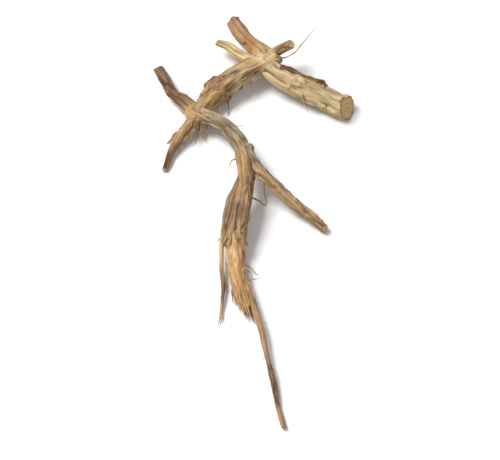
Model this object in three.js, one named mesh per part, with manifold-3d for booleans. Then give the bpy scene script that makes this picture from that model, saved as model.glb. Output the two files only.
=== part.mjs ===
// Achyranthes root, dried and cut: one branched root that lies on a surface.
// Units are millimetres, with +Z up. The origin is on the flat spot that the root rests on,
// under the belly of its thickest limb, and +Y runs towards the crown end.

import * as THREE from 'three';
import Module from 'manifold-3d';
import { mergeVertices } from 'three/addons/utils/BufferGeometryUtils.js';

const wasm = await Module();
wasm.setup();

// Driving sizes, in millimetres
const THINNEST_RADIUS = 0.32; // of a rootlet's tip, or of a torn fibre
const BARK_STEP_Y = -49.5; // below here the long root's bark is peeled off
const BARK_THICKNESS = 0.3;
const SURFACE = { size: 300, depth: 20 };

// The bark's relief: how many waves of each kind go round a root, how many radians it runs through for
// each millimetre along the root, and how deep it is as a share of the root's furrows
const FLATS = { round: 3, along: 0.06, depth: 0.7 };
const FOLDS = { round: 2.5, depth: 0.75 };
const WRINKLES = { round: 7, along: 0.4, depth: 0.7 };
const NODES = { along: 0.55, fineAlong: 1.27, fineDepth: 0.7, depth: 0.45 };
const WANDER = { along: 0.23, depth: 0.9, fineAlong: 0.61, fineDepth: 0.4 };

// The bark's torn edge: how far its large and its small teeth reach along the root, and how many there are
const TEETH = { large: 1.6, largeRound: 3, small: 0.9, smallRound: 7 };

// Growths start at these shares of a root's length, and leave its skin just below its full radius
const GROWTH_PLACES = { first: 0.1, span: 0.78, skin: 0.95, lowestTip: 0.45 };
const ROOTLET = {
  radius: 0.55, radiusSpread: 0, reach: 1.2, reachSpread: 2.2, lean: 1.5, leanSpread: 3,
  lowest: -0.6, turnSpread: 0.9, droop: 0.6,
};
const SCAR = {
  radius: 1.0, radiusSpread: 0.3, reach: 0.3, reachSpread: 0, lean: 0.5, leanSpread: 0,
  lowest: -0.7, turnSpread: 2.2, droop: 0,
};
const GROWTH_SHAPE = { sides: 6, step: 1.6, furrow: 0 };

// The splinters of the long root's torn end
const FRAY = {
  count: 9, seed: 77, radius: 0.8, length: 3.4, lengthSpread: 3.4, half: 1.15, start: 1.0,
  left: 0.8, back: 2.2, lean: 0.3, spread: 1.25, lowest: 0.5, jitter: 0.6,
};
const FRAY_SHAPE = { sides: 5, step: 1.5, furrow: 0 };
const FRAY_BEND = [0.1, 0, 0.15];
const FRAY_FIRST_SEED = 80;

// The strands under the lower knot
const SKIRT_SHAPE = { sides: 6, step: 1.4, furrow: 0.05 };
const SKIRT_FIRST_SEED = 60;

// The centreline points: x, y, z and the root's radius there
const LIMB_A = {
  points: [
    [14.2, 8.7, 7.0, 3.0], [10.2, 6.5, 6.3, 2.8], [6.2, 4.6, 5.1, 3.05], [3.0, 2.3, 4.1, 3.45],
    [0, 0, 3.45, 3.7], [-2.5, -2.7, 3.5, 2.9], [-4.5, -5.7, 3.8, 2.2], [-6.2, -8.4, 4.0, 2.5],
  ],
  sides: 18, step: 1.4, furrow: 0.095, seed: 1,
};
const LIMB_E = {
  points: [
    [14.2, 7.8, 7.0, 2.8], [17.2, 5.1, 6.8, 2.1], [22.0, 2.5, 5.6, 2.7],
    [27.8, -0.6, 4.3, 3.2], [33.6, -3.6, 3.4, 3.45], [37.4, -5.4, 3.15, 3.3],
  ],
  sides: 18, step: 1.4, furrow: 0.09, seed: 2, cut: 0.55,
};
const LIMB_E_STRAND = {
  points: [
    [12.4, 7.4, 6.0, 1.2], [14.8, 3.7, 5.8, 1.3], [18.8, 1.2, 5.2, 1.35],
    [23.2, -1.3, 4.4, 1.45], [27.8, -3.4, 3.6, 1.3],
  ],
  sides: 10, step: 1.4, furrow: 0.06, seed: 3,
};
const STEM_STUB = {
  points: [
    [14.2, 8.4, 7.0, 2.6], [13.0, 10.9, 7.2, 2.4], [9.9, 13.7, 7.4, 2.25],
    [6.9, 17.3, 7.2, 2.05], [4.6, 22.2, 6.6, 1.95],
  ],
  sides: 16, step: 1.4, furrow: 0.08, seed: 4, cut: -0.25,
};
const PALE_STRAND = {
  points: [
    [13.0, 8.4, 6.9, 1.5], [8.8, 9.4, 6.7, 1.55], [5.8, 11.4, 6.4, 1.4],
    [2.7, 14.4, 5.8, 1.3], [-0.4, 16.1, 5.2, 1.0],
  ],
  sides: 10, step: 1.4, furrow: 0.08, seed: 5, cut: 0.6,
};
const SHORT_STUB = {
  points: [[14.4, 8.4, 6.8, 1.7], [16.2, 10.4, 8.0, 1.5], [18.8, 11.7, 9.0, 1.4], [21.2, 12.4, 9.8, 1.4]],
  sides: 10, step: 1.2, furrow: 0.08, seed: 6, cut: 0.7,
};
const CROWN_NUB = {
  points: [[15.0, 8.0, 8.0, 1.5], [17.0, 7.8, 8.8, 1.2], [18.6, 7.9, 9.0, 0.8]],
  sides: 8, step: 1.1, furrow: 0.08, seed: 7,
};
const UPPER_LEFT_ROOT = {
  points: [
    [-5.8, -8.0, 4.0, 2.0], [-9.8, -3.3, 3.8, 1.75], [-13.2, -0.4, 3.2, 1.65],
    [-15.2, 4.1, 2.4, 1.55], [-17.6, 9.2, 1.7, 1.35],
  ],
  sides: 12, step: 1.5, furrow: 0.09, seed: 8, cut: 0.4,
};
const LOWER_LEFT_ROOT = {
  points: [
    [-6.2, -8.6, 3.9, 1.7], [-8.8, -11.9, 3.4, 1.45], [-11.1, -14.9, 2.7, 1.3],
    [-12.9, -17.9, 2.0, 1.15], [-14.2, -21.2, 1.4, 0.95], [-15.3, -25.0, 1.0, 0.7],
  ],
  sides: 10, step: 1.4, furrow: 0.08, seed: 9,
};
const LONG_ROOT = {
  points: [
    [-6.2, -8.4, 4.0, 2.3], [-3.0, -9.8, 5.0, 1.95], [0.5, -12.2, 6.2, 2.0],
    [3.5, -15.4, 7.2, 2.15], [6.5, -20.6, 8.2, 2.35], [7.8, -26.3, 8.5, 2.35],
    [8.2, -32.0, 8.0, 2.3], [7.2, -39.1, 6.6, 2.7], [6.1, -44.2, 5.2, 3.0],
    [5.4, -49.4, 4.0, 2.9], [5.4, -56.2, 2.9, 2.75], [6.3, -62.4, 2.3, 2.65], [7.8, -68.0, 2.05, 2.2],
    [8.7, -70.6, 2.0, 1.5],
  ],
  sides: 16, step: 1.6, furrow: 0.085, seed: 10,
};
const LEFT_RIDGE = {
  points: [
    [6.6, -30.6, 7.7, 0.7], [4.1, -38.0, 6.3, 1.3], [2.7, -43.8, 4.7, 1.35],
    [1.9, -47.6, 3.7, 1.0], [1.3, -50.8, 3.1, 0.7], [1.3, -57.0, 2.3, 0.62],
    [1.8, -63.2, 1.6, 0.66], [1.5, -68.6, 1.1, 0.6], [1.0, -73.2, 0.8, 0.4],
  ],
  sides: 9, step: 1.5, furrow: 0.08, seed: 11,
};
const SIDE_ROOT = {
  points: [
    [7.8, -23.4, 8.2, 1.6], [10.5, -27.3, 8.6, 1.75], [12.8, -30.1, 8.0, 1.7],
    [17.2, -33.9, 6.1, 1.6], [21.2, -37.5, 4.3, 1.6], [25.8, -40.9, 2.8, 1.5], [30.6, -44.8, 1.6, 1.3],
  ],
  sides: 12, step: 1.5, furrow: 0.09, seed: 12, cut: 0.5,
};
const TAIL_ROOTLET = {
  points: [
    [7.6, -62.6, 2.3, 0.95], [9.5, -67.4, 2.6, 0.85], [10.9, -72.4, 2.9, 0.8], [12.1, -77.1, 3.0, 0.78],
    [13.8, -84.9, 2.5, 0.75], [15.8, -94.3, 1.7, 0.72], [17.2, -101.7, 1.1, 0.68], [18.8, -107.6, 0.8, 0.5],
  ],
  sides: 8, step: 1.7, furrow: 0.07, seed: 13,
};
const THICK_ROOTS = [
  LIMB_A, LIMB_E, LIMB_E_STRAND, STEM_STUB, PALE_STRAND, SHORT_STUB, CROWN_NUB, UPPER_LEFT_ROOT,
  LOWER_LEFT_ROOT, LONG_ROOT, LEFT_RIDGE, SIDE_ROOT, TAIL_ROOTLET,
];

// The knobs where limbs meet, and the swellings: place, half sizes, and how rough each is
const KNOBS = [
  { at: [14.3, 8.2, 7.0], half: [3.5, 3.2, 3.1], rough: 0.15, detail: 3, seed: 21 },
  { at: [13.0, 9.9, 7.9], half: [2.7, 2.3, 2.1], rough: 0.18, detail: 2, seed: 26 },
  { at: [-6.3, -8.5, 4.0], half: [2.8, 2.8, 2.7], rough: 0.16, detail: 3, seed: 22 },
  { at: [-0.9, 1.7, 4.6], half: [2.9, 2.1, 2.1], rough: 0.18, detail: 2, seed: 23 },
  { at: [8.7, -23.7, 8.4], half: [2.1, 3.1, 1.9], rough: 0.16, detail: 2, seed: 24 },
  { at: [28.2, 0.3, 5.1], half: [3.4, 2.3, 2.0], rough: 0.16, detail: 2, seed: 25 },
];

// The torn strands that come off the top of the lower knot and hang in front of it
const SKIRT = [
  [[-7.2, -7.4, 5.6, 0.9], [-9.0, -11.0, 4.0, 0.75], [-14.8, -16.2, 1.3, 0.34]],
  [[-6.8, -7.8, 6.0, 0.9], [-8.0, -11.6, 3.8, 0.75], [-13.0, -18.8, 0.9, 0.34]],
  [[-6.2, -8.2, 6.0, 0.9], [-6.9, -11.4, 4.0, 0.7], [-9.9, -16.6, 1.0, 0.32]],
  [[-5.6, -8.6, 5.8, 0.8], [-5.3, -11.2, 4.0, 0.6], [-4.4, -14.8, 2.0, 0.32]],
  [[-5.0, -8.6, 5.6, 0.8], [-4.4, -10.8, 4.2, 0.55], [-2.6, -13.6, 2.3, 0.32]],
];

// Rootlets and the scars that fallen ones leave: how many on which root, and the seed of their places
const GROWTHS = [
  { root: LIMB_A, rootlets: 3, scars: 4, seed: 31 },
  { root: LIMB_E, rootlets: 2, scars: 4, seed: 32 },
  { root: LONG_ROOT, rootlets: 5, scars: 6, seed: 41 },
  { root: STEM_STUB, rootlets: 0, scars: 2, seed: 34 },
  { root: SIDE_ROOT, rootlets: 1, scars: 2, seed: 35 },
  { root: UPPER_LEFT_ROOT, rootlets: 1, scars: 1, seed: 36 },
];

// Random numbers from 0 to 1 that are the same on every run
function seededRandom(seed) {
  let state = seed * 9301 + 49297;
  return () => {
    state = (state * 1103515245 + 12345) % 2147483648;
    return state / 2147483648;
  };
}

// The dried bark's relief, as a share of the radius: furrows that run along the root and wander round
// it, and a slow swelling and pinching from node to node. The seed shifts them from root to root.
function relief(around, along, furrow, seed) {
  const wander = WANDER.depth * Math.sin(along * WANDER.along + seed * 1.7)
    + WANDER.fineDepth * Math.sin(along * WANDER.fineAlong + seed * 2.9);
  const flats = Math.cos(FLATS.round * around + FLATS.along * along + seed + wander);
  const folds = 1 - 2 * Math.abs(Math.sin(FOLDS.round * around - wander * 1.5 + seed * 2.3));
  const wrinkles = Math.cos(WRINKLES.round * around + wander * 2 + seed * 0.7)
    * Math.cos(along * WRINKLES.along + 2 * around + seed);
  const nodes = Math.sin(along * NODES.along + seed * 3.1)
    + NODES.fineDepth * Math.sin(along * NODES.fineAlong + around + seed);
  return furrow * (
    FLATS.depth * flats + FOLDS.depth * folds + WRINKLES.depth * wrinkles + NODES.depth * nodes
  );
}

// The long root's bark ends in a ragged step, with bare wood below it
function peel(root, place, around) {
  if (root !== LONG_ROOT) {
    return 0;
  }
  const large = TEETH.large * Math.sin(TEETH.largeRound * around + 1);
  const small = TEETH.small * Math.sin(TEETH.smallRound * around);
  return place.y < BARK_STEP_Y + large + small ? BARK_THICKNESS : 0;
}

// A closed mesh without normals or uvs, as a solid that can be joined and cut
function solid(geometry) {
  geometry.deleteAttribute('normal');
  geometry.deleteAttribute('uv');
  const merged = mergeVertices(geometry, 1e-4);
  return new wasm.Manifold(new wasm.Mesh({
    numProp: 3,
    vertProperties: new Float32Array(merged.attributes.position.array),
    triVerts: new Uint32Array(merged.index.array),
  }));
}

// A root's centreline
function centreline(points) {
  return new THREE.CatmullRomCurve3(points.map(([x, y, z]) => new THREE.Vector3(x, y, z)));
}

// A tapered root with a furrowed skin. A cylinder's rings are laid along the centreline, and the last
// one is sheared where the root was cut or broken off at a slant.
function rootSolid(root) {
  const { points, sides, step, furrow, seed, cut = 0 } = root;
  const curve = centreline(points);
  const length = curve.getLength();
  const segments = Math.max(2, Math.round(length / step));
  const frames = curve.computeFrenetFrames(segments, false);
  const radii = points.map((point) => point[3]);
  const geometry = new THREE.CylinderGeometry(1, 1, 1, sides, segments);
  const position = geometry.attributes.position;
  const vertex = new THREE.Vector3();
  for (let i = 0; i < position.count; i += 1) {
    vertex.fromBufferAttribute(position, i);
    const share = 0.5 + vertex.y;
    const ring = Math.round(share * segments);
    const reach = Math.hypot(vertex.x, vertex.z);
    const side = Math.round(Math.atan2(vertex.x, vertex.z) * sides / (2 * Math.PI));
    const around = (side + sides) % sides * 2 * Math.PI / sides;
    const knot = curve.getUtoTmapping(share) * (points.length - 1);
    const before = Math.min(Math.floor(knot), points.length - 2);
    const place = curve.getPointAt(share);
    let radius = THREE.MathUtils.lerp(radii[before], radii[before + 1], knot - before);
    radius *= 1 + relief(around, share * length, furrow, seed);
    radius -= peel(root, place, around);
    const slant = ring === segments ? cut * reach * radius * Math.sin(around) : 0;
    place.addScaledVector(frames.normals[ring], reach * radius * Math.sin(around));
    place.addScaledVector(frames.binormals[ring], -reach * radius * Math.cos(around));
    place.addScaledVector(frames.tangents[ring], slant);
    position.setXYZ(i, place.x, place.y, place.z);
  }
  return solid(geometry);
}

// A rough ball for a knob or a swelling
function knobSolid({ at, half, rough, detail, seed }) {
  const geometry = new THREE.IcosahedronGeometry(1, detail);
  const position = geometry.attributes.position;
  const vertex = new THREE.Vector3();
  for (let i = 0; i < position.count; i += 1) {
    vertex.fromBufferAttribute(position, i);
    const lumps = Math.sin(3.1 * vertex.x + seed) * Math.sin(3.7 * vertex.y + 2 * seed)
      + 0.6 * Math.sin(6.3 * vertex.z + seed) * Math.sin(5.9 * vertex.x - seed);
    vertex.multiplyScalar(1 + rough * lumps);
    vertex.multiply(new THREE.Vector3(...half)).add(new THREE.Vector3(...at));
    position.setXYZ(i, vertex.x, vertex.y, vertex.z);
  }
  return solid(geometry);
}

// What grows from the sides and the underside of a root, at seeded places: rootlets that lean towards
// the root's tip, and blunt scars. All start at the centreline, so they are rooted well in.
function growthSolids({ root, rootlets, scars, seed }) {
  const random = seededRandom(seed);
  const spread = (amount) => (amount ? amount * random() : 0);
  const curve = centreline(root.points);
  const count = rootlets + scars;
  return Array.from({ length: count }, (_, i) => {
    const kind = i * rootlets % count < rootlets ? ROOTLET : SCAR;
    const share = GROWTH_PLACES.first + GROWTH_PLACES.span * (i + random()) / count;
    const start = curve.getPointAt(share);
    const tangent = curve.getTangentAt(share);
    const girth = root.points[Math.round(share * (root.points.length - 1))][3];
    const lift = kind.lowest + spread(kind.turnSpread);
    const out = new THREE.Vector3(0, 0, 1).cross(tangent).normalize();
    out.multiplyScalar(Math.cos(lift) * (random() < 0.5 ? 1 : -1));
    out.z += Math.sin(lift);
    const reach = girth + kind.reach + spread(kind.reachSpread);
    const lean = kind.lean + spread(kind.leanSpread);
    const skin = start.clone().addScaledVector(out, girth * GROWTH_PLACES.skin);
    skin.addScaledVector(tangent, lean / 5);
    const tip = start.clone().addScaledVector(out, reach).addScaledVector(tangent, lean);
    tip.z = Math.max(tip.z - kind.droop, GROWTH_PLACES.lowestTip);
    const thick = kind.radius + spread(kind.radiusSpread);
    const points = [
      [...start.toArray(), thick], [...skin.toArray(), thick], [...tip.toArray(), THINNEST_RADIUS],
    ];
    return rootSolid({ points, ...GROWTH_SHAPE, seed: seed + i });
  });
}

// The long root's torn end, split into splinters of uneven length that bend a little on their way
function fraySolids() {
  const random = seededRandom(FRAY.seed);
  const [x, y, z] = LONG_ROOT.points[LONG_ROOT.points.length - 2];
  return Array.from({ length: FRAY.count }, (_, i) => {
    const turn = (i + FRAY.jitter * random()) * 2 * Math.PI / FRAY.count;
    const across = Math.cos(turn) * FRAY.half;
    const up = Math.sin(turn);
    const length = FRAY.length + FRAY.lengthSpread * random();
    const start = new THREE.Vector3(x + across - FRAY.left, y + FRAY.back, z + up * FRAY.start);
    const end = new THREE.Vector3(
      x + across * FRAY.spread + length * FRAY.lean,
      y - length,
      Math.max(z + up * FRAY.half, FRAY.lowest),
    );
    const middle = start.clone().lerp(end, 0.5).add(new THREE.Vector3(...FRAY_BEND));
    const points = [start, middle, end].map((point, k) => [
      ...point.toArray(), THREE.MathUtils.lerp(FRAY.radius, THINNEST_RADIUS, k / 2),
    ]);
    return rootSolid({ points, ...FRAY_SHAPE, seed: FRAY_FIRST_SEED + i });
  });
}

// All the roots, knobs, strands and growths as one solid, cut flat where it rests on the surface
function achyranthesRoot() {
  const pieces = [
    ...THICK_ROOTS.map(rootSolid),
    ...KNOBS.map(knobSolid),
    ...SKIRT.map((points, i) => rootSolid({ points, ...SKIRT_SHAPE, seed: SKIRT_FIRST_SEED + i })),
    ...GROWTHS.flatMap(growthSolids),
    ...fraySolids(),
  ];
  const surface = new THREE.BoxGeometry(SURFACE.size, SURFACE.size, SURFACE.depth);
  surface.translate(0, 0, -SURFACE.depth / 2);
  const root = pieces.reduce((joined, piece) => joined.add(piece)).subtract(solid(surface));
  const mesh = root.getMesh();
  const geometry = new THREE.BufferGeometry();
  geometry.setAttribute('position', new THREE.BufferAttribute(mesh.vertProperties, 3));
  geometry.setIndex(new THREE.BufferAttribute(mesh.triVerts, 1));
  geometry.computeVertexNormals();
  return geometry;
}

const driedBark = new THREE.MeshStandardMaterial({ color: 0x8c6946, roughness: 0.88, metalness: 0 });
const rootMesh = new THREE.Mesh(achyranthesRoot(), driedBark);
rootMesh.name = 'achyranthes_root';

const part = new THREE.Group();
part.add(rootMesh);

export default part;
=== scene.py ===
# A dried achyranthes root that lies on a pale surface: its fine skin, torn fibres, rootlets, colours,
# the floor, the light and the camera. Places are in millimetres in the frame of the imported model, until
# each finished mesh is scaled to metres.
import math

import bmesh
import bpy
import numpy as np
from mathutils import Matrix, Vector


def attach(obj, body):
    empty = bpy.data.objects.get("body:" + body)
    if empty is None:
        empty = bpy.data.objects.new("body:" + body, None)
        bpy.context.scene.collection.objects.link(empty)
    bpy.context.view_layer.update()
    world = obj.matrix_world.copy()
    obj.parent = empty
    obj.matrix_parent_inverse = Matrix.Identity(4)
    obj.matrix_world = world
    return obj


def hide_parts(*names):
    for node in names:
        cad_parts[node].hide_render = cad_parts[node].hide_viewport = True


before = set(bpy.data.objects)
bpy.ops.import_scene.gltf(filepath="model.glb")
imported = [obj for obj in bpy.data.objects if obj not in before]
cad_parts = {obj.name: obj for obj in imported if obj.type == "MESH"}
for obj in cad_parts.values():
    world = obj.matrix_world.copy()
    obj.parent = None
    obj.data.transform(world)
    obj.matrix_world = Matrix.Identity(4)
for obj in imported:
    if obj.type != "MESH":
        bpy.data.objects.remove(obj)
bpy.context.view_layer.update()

NODE = "achyranthes_root"
BODY = "root"
METRES = 0.001

# The fine skin
VOXEL = 0.18  # the size of a facet of the skin, before the flat places get larger ones
SKIN_TRIANGLES = 190000
DRAFT_SIDES = 28  # of the plain roots that the skin is made from
POINTS_AT_ONCE = 4000  # more take too much memory
FAR = 9.0  # the distance given to what isn't near
PAST_CUT = 50.0  # how far a cut root would run on past its end, if the cut didn't stop it
FILLET = 0.24  # how softly one root runs into another

# The bark's and the wood's pattern, which has places of its own: the grain
STRETCH = 0.12  # a length along a root counts this much in the grain, so that its pattern is drawn out
GRAIN_APART = 13.7  # how far apart in the grain the roots are
GRAIN_BLEND = 0.32  # how far the pattern runs over from one root to the next
KNOB_SHORTER = 1.8  # the pattern is this much less drawn out on a knob
KNOB_ROUGH = 1.2  # how strong a knob's wrinkles are
KNOB_LUMPS = 0.42  # and how high its lumps
STREAK_SHADE = 0.42  # how much the bark's streaks change its colour
CREVICE_DEPTH = 0.16

# The long root's bark, which is peeled off at its lower end
BARK_STEP_Y = -49.5  # below here
BARK_THICKNESS = 0.3
BARK_TEETH = (1.6, 0.9, 1.1)  # how far the large, small and uneven teeth of its torn edge reach
LIP = 0.16  # how far the bark curls up above that edge

# The scars of fallen rootlets
SCAR_DEPTH = 1.0  # how far below the scar's tip its ball is centred
MARK_DEPTH = 0.2  # and how far below it the middle of its mark is
SCAR_RIM = 0.6  # how far the mark reaches from its middle
SCAR_DENT = 0.14

FACE_RINGS = 19.0  # the rings of vessels on a cut end, in radians from its middle to its rim

# Colours of the bark and the wood, as sRGB from 0 to 255
PAINTS = {
    "pale": (190, 169, 129),
    "sand": (172, 144, 105),
    "tan": (156, 125, 90),
    "ochre": (164, 130, 86),
    "orange": (168, 127, 86),
    "grey": (145, 130, 105),
    "olive": (138, 119, 84),
    "brown": (119, 90, 65),
    "plum": (108, 82, 68),
    "umber": (70, 48, 33),
    "wood": (188, 148, 101),
    "heart": (204, 179, 134),
}


def root_row(*points, paints, furrow, rough, cut=None):
    """A row of the table of roots."""
    return dict(points=points, paints=paints, furrow=furrow, rough=rough, cut=cut)


# Each root: the points of its centreline as x, y, z and radius, the paint at each of them, the depth of
# its furrows as a share of the radius, how strong its wrinkles are, and the slant of its end where it is cut
ROOTS = {
    "limb_a": root_row(
        (14.2, 8.7, 7.0, 3.0), (10.2, 6.5, 6.3, 2.8), (6.2, 4.6, 5.1, 3.05), (3.0, 2.3, 4.1, 3.45),
        (0, 0, 3.45, 3.7), (-2.5, -2.7, 3.5, 2.9), (-4.5, -5.7, 3.8, 2.2), (-6.2, -8.4, 4.0, 2.5),
        paints="sand sand sand tan tan ochre sand sand", furrow=0.095, rough=0.85,
    ),
    "limb_e": root_row(
        (14.2, 7.8, 7.0, 2.8), (17.2, 5.1, 6.8, 2.1), (22.0, 2.5, 5.6, 2.7), (27.8, -0.6, 4.3, 3.2),
        (33.6, -3.6, 3.4, 3.45), (37.4, -5.4, 3.15, 3.3),
        paints="pale pale pale pale pale pale", furrow=0.09, rough=0.45, cut=0.55,
    ),
    "limb_e_strand": root_row(
        (12.4, 7.4, 6.0, 1.2), (14.8, 3.7, 5.8, 1.3), (18.8, 1.2, 5.2, 1.35), (23.2, -1.3, 4.4, 1.45),
        (27.8, -3.4, 3.6, 1.3),
        paints="pale pale pale pale pale", furrow=0.06, rough=0.55,
    ),
    "stem_stub": root_row(
        (14.2, 8.4, 7.0, 2.6), (13.0, 10.9, 7.2, 2.4), (9.9, 13.7, 7.4, 2.25), (6.9, 17.3, 7.2, 2.05),
        (4.6, 22.2, 6.6, 1.95),
        paints="sand orange orange tan tan", furrow=0.08, rough=0.55, cut=-0.25,
    ),
    "pale_strand": root_row(
        (13.0, 8.4, 6.9, 1.5), (8.8, 9.4, 6.7, 1.55), (5.8, 11.4, 6.4, 1.4), (2.7, 14.4, 5.8, 1.3),
        (-0.4, 16.1, 5.2, 1.0),
        paints="pale pale pale pale sand", furrow=0.08, rough=0.6, cut=0.6,
    ),
    "short_stub": root_row(
        (14.4, 8.4, 6.8, 1.7), (16.2, 10.4, 8.0, 1.5), (18.8, 11.7, 9.0, 1.4), (21.2, 12.4, 9.8, 1.4),
        paints="pale sand tan sand", furrow=0.08, rough=0.7, cut=0.7,
    ),
    "crown_nub": root_row(
        (15.0, 8.0, 8.0, 1.5), (17.0, 7.8, 8.8, 1.2), (18.6, 7.9, 9.0, 0.8),
        paints="pale sand plum", furrow=0.08, rough=0.8,
    ),
    "upper_left_root": root_row(
        (-5.8, -8.0, 4.0, 2.0), (-9.8, -3.3, 3.8, 1.75), (-13.2, -0.4, 3.2, 1.65), (-15.2, 4.1, 2.4, 1.55),
        (-17.6, 9.2, 1.7, 1.35),
        paints="sand brown brown plum brown", furrow=0.09, rough=1.0, cut=0.4,
    ),
    "lower_left_root": root_row(
        (-6.2, -8.6, 3.9, 1.7), (-8.8, -11.9, 3.4, 1.45), (-11.1, -14.9, 2.7, 1.3),
        (-12.9, -17.9, 2.0, 1.15), (-14.2, -21.2, 1.4, 0.95), (-15.3, -25.0, 1.0, 0.7),
        paints="ochre tan tan tan brown brown", furrow=0.08, rough=0.9, cut=0.5,
    ),
    "long_root": root_row(
        (-6.2, -8.4, 4.0, 2.3), (-3.0, -9.8, 5.0, 1.95), (0.5, -12.2, 6.2, 2.0), (3.5, -15.4, 7.2, 2.15),
        (6.5, -20.6, 8.2, 2.35), (7.8, -26.3, 8.5, 2.35), (8.2, -32.0, 8.0, 2.3), (7.2, -39.1, 6.6, 2.7),
        (6.1, -44.2, 5.2, 3.0), (5.4, -49.4, 4.0, 2.9), (5.4, -56.2, 2.9, 2.75), (6.3, -62.4, 2.3, 2.65),
        (7.8, -68.0, 2.05, 2.2), (8.7, -70.6, 2.0, 1.5),
        paints="sand grey grey grey grey tan tan tan tan tan tan tan ochre tan", furrow=0.085, rough=1.0,
    ),
    "left_ridge": root_row(
        (6.6, -30.6, 7.7, 0.7), (4.1, -38.0, 6.3, 1.3), (2.7, -43.8, 4.7, 1.35), (1.9, -47.6, 3.7, 1.0),
        (1.3, -50.8, 3.1, 0.7), (1.3, -57.0, 2.3, 0.62), (1.8, -63.2, 1.6, 0.66), (1.5, -68.6, 1.1, 0.6),
        (1.0, -73.2, 0.8, 0.4),
        paints="tan olive olive olive pale sand brown brown heart", furrow=0.08, rough=0.8,
    ),
    "side_root": root_row(
        (7.8, -23.4, 8.2, 1.6), (10.5, -27.3, 8.6, 1.75), (12.8, -30.1, 8.0, 1.7), (17.2, -33.9, 6.1, 1.6),
        (21.2, -37.5, 4.3, 1.6), (25.8, -40.9, 2.8, 1.5), (30.6, -44.8, 1.6, 1.3),
        paints="grey grey sand sand sand sand tan", furrow=0.09, rough=0.9, cut=0.5,
    ),
    "tail_rootlet": root_row(
        (7.6, -62.6, 2.3, 0.95), (9.5, -67.4, 2.6, 0.85), (10.9, -72.4, 2.9, 0.8), (12.1, -77.1, 3.0, 0.78),
        (13.8, -84.9, 2.5, 0.75), (15.8, -94.3, 1.7, 0.72), (17.2, -101.7, 1.1, 0.68),
        (18.8, -107.6, 0.8, 0.5),
        paints="tan tan sand tan tan brown tan tan", furrow=0.07, rough=0.7,
    ),
}
for place, row in enumerate(ROOTS.values(), 1):
    row["seed"] = place  # of its relief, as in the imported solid

# The knobs where limbs meet, and the swellings: place, half sizes, the way the grain runs over them, how
# rough, seed, paint
KNOBS = [
    dict(at=(14.3, 8.2, 7.0), half=(3.5, 3.2, 3.1), way=(0.85, 0.47, 0.2), rough=0.15, seed=21, paint="pale"),
    dict(at=(13.0, 9.9, 7.9), half=(2.7, 2.3, 2.1), way=(-0.6, 0.8, 0), rough=0.18, seed=26, paint="pale"),
    dict(at=(-6.3, -8.5, 4.0), half=(2.8, 2.8, 2.7), way=(-0.4, -0.9, 0), rough=0.16, seed=22, paint="ochre"),
    dict(at=(-0.9, 1.7, 4.6), half=(2.9, 2.1, 2.1), way=(0.75, 0.65, 0), rough=0.18, seed=23, paint="tan"),
    dict(at=(8.7, -23.7, 8.4), half=(2.1, 3.1, 1.9), way=(0.3, -0.95, 0), rough=0.16, seed=24, paint="grey"),
    dict(at=(28.2, 0.3, 5.1), half=(3.4, 2.3, 2.0), way=(0.87, -0.47, 0), rough=0.16, seed=25, paint="sand"),
]
LOWER_KNOT = KNOBS[2]

# The torn strands that come off the top of the lower knot and hang in front of it
SKIRT = [
    [(-7.2, -7.9, 4.9, 0.8), (-9.0, -11.0, 4.0, 0.75), (-14.8, -16.2, 1.3, 0.34)],
    [(-6.8, -8.3, 5.2, 0.8), (-8.0, -11.6, 3.8, 0.75), (-13.0, -18.8, 0.9, 0.34)],
    [(-6.2, -8.7, 5.2, 0.8), (-6.9, -11.4, 4.0, 0.7), (-9.9, -16.6, 1.0, 0.32)],
    [(-5.6, -9.0, 5.0, 0.7), (-5.3, -11.2, 4.0, 0.6), (-4.4, -14.8, 2.0, 0.32)],
    [(-5.0, -9.0, 4.9, 0.7), (-4.4, -10.8, 4.2, 0.55), (-2.6, -13.6, 2.3, 0.32)],
]

# Rootlets and scars: how many on which root, and the seed of their places
GROWTHS = [
    ("limb_a", 3, 4, 31), ("limb_e", 2, 4, 32), ("long_root", 5, 6, 41),
    ("stem_stub", 0, 2, 34), ("side_root", 1, 2, 35), ("upper_left_root", 1, 1, 36),
]

# Patches of other colour on the bark: place, radius, paint and strength
PATCHES = [
    ((-1.8, 2.6, 6.2), 2.4, "brown", 0.6),
    ((1.4, -0.8, 7.2), 2.8, "brown", 0.3),
    ((4.4, 3.6, 8.0), 2.4, "grey", 0.75),
    ((9.4, 6.0, 9.0), 2.4, "tan", 0.3),
    ((2.0, -3.0, 3.0), 3.0, "plum", 0.1),
    ((5.6, 1.2, 3.6), 3.4, "pale", 0.95),
    ((12.0, 3.8, 5.0), 2.0, "brown", 0.6),
    ((20.0, 5.6, 8.0), 2.2, "orange", 0.6),
    ((24.0, 0.4, 6.6), 1.2, "brown", 0.7),
    ((33.0, -2.0, 7.0), 3.0, "grey", 0.45),
    ((5.0, 21.6, 8.0), 2.4, "brown", 0.3),
    ((17.4, 10.6, 8.4), 1.6, "plum", 0.7),
    ((-9.2, -6.6, 5.8), 1.8, "sand", 0.6),
    ((-10.6, -4.4, 5.0), 2.6, "brown", 0.6),
    ((2.8, -15.4, 8.8), 3.4, "plum", 0.4),
    ((8.6, -22.6, 10.4), 2.6, "grey", 0.7),
    ((6.6, -27.0, 10.5), 1.8, "orange", 0.7),
    ((6.8, -31.0, 10.2), 1.8, "orange", 0.6),
    ((9.4, -42.0, 7.4), 3.0, "sand", 0.7),
    ((5.4, -42.8, 8.5), 3.8, "plum", 0.72),
    ((11.0, -28.2, 10.0), 2.4, "plum", 0.35),
    ((7.4, -29.8, 10.6), 2.4, "ochre", 0.5),
    ((18.6, -35.2, 7.2), 3.2, "heart", 0.12),
    ((16.2, -31.6, 6.4), 2.0, "pale", 0.4),
    ((27.0, -42.0, 3.6), 3.0, "sand", 0.5),
    ((6.0, -64.0, 4.8), 3.0, "sand", 0.6),
]

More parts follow.
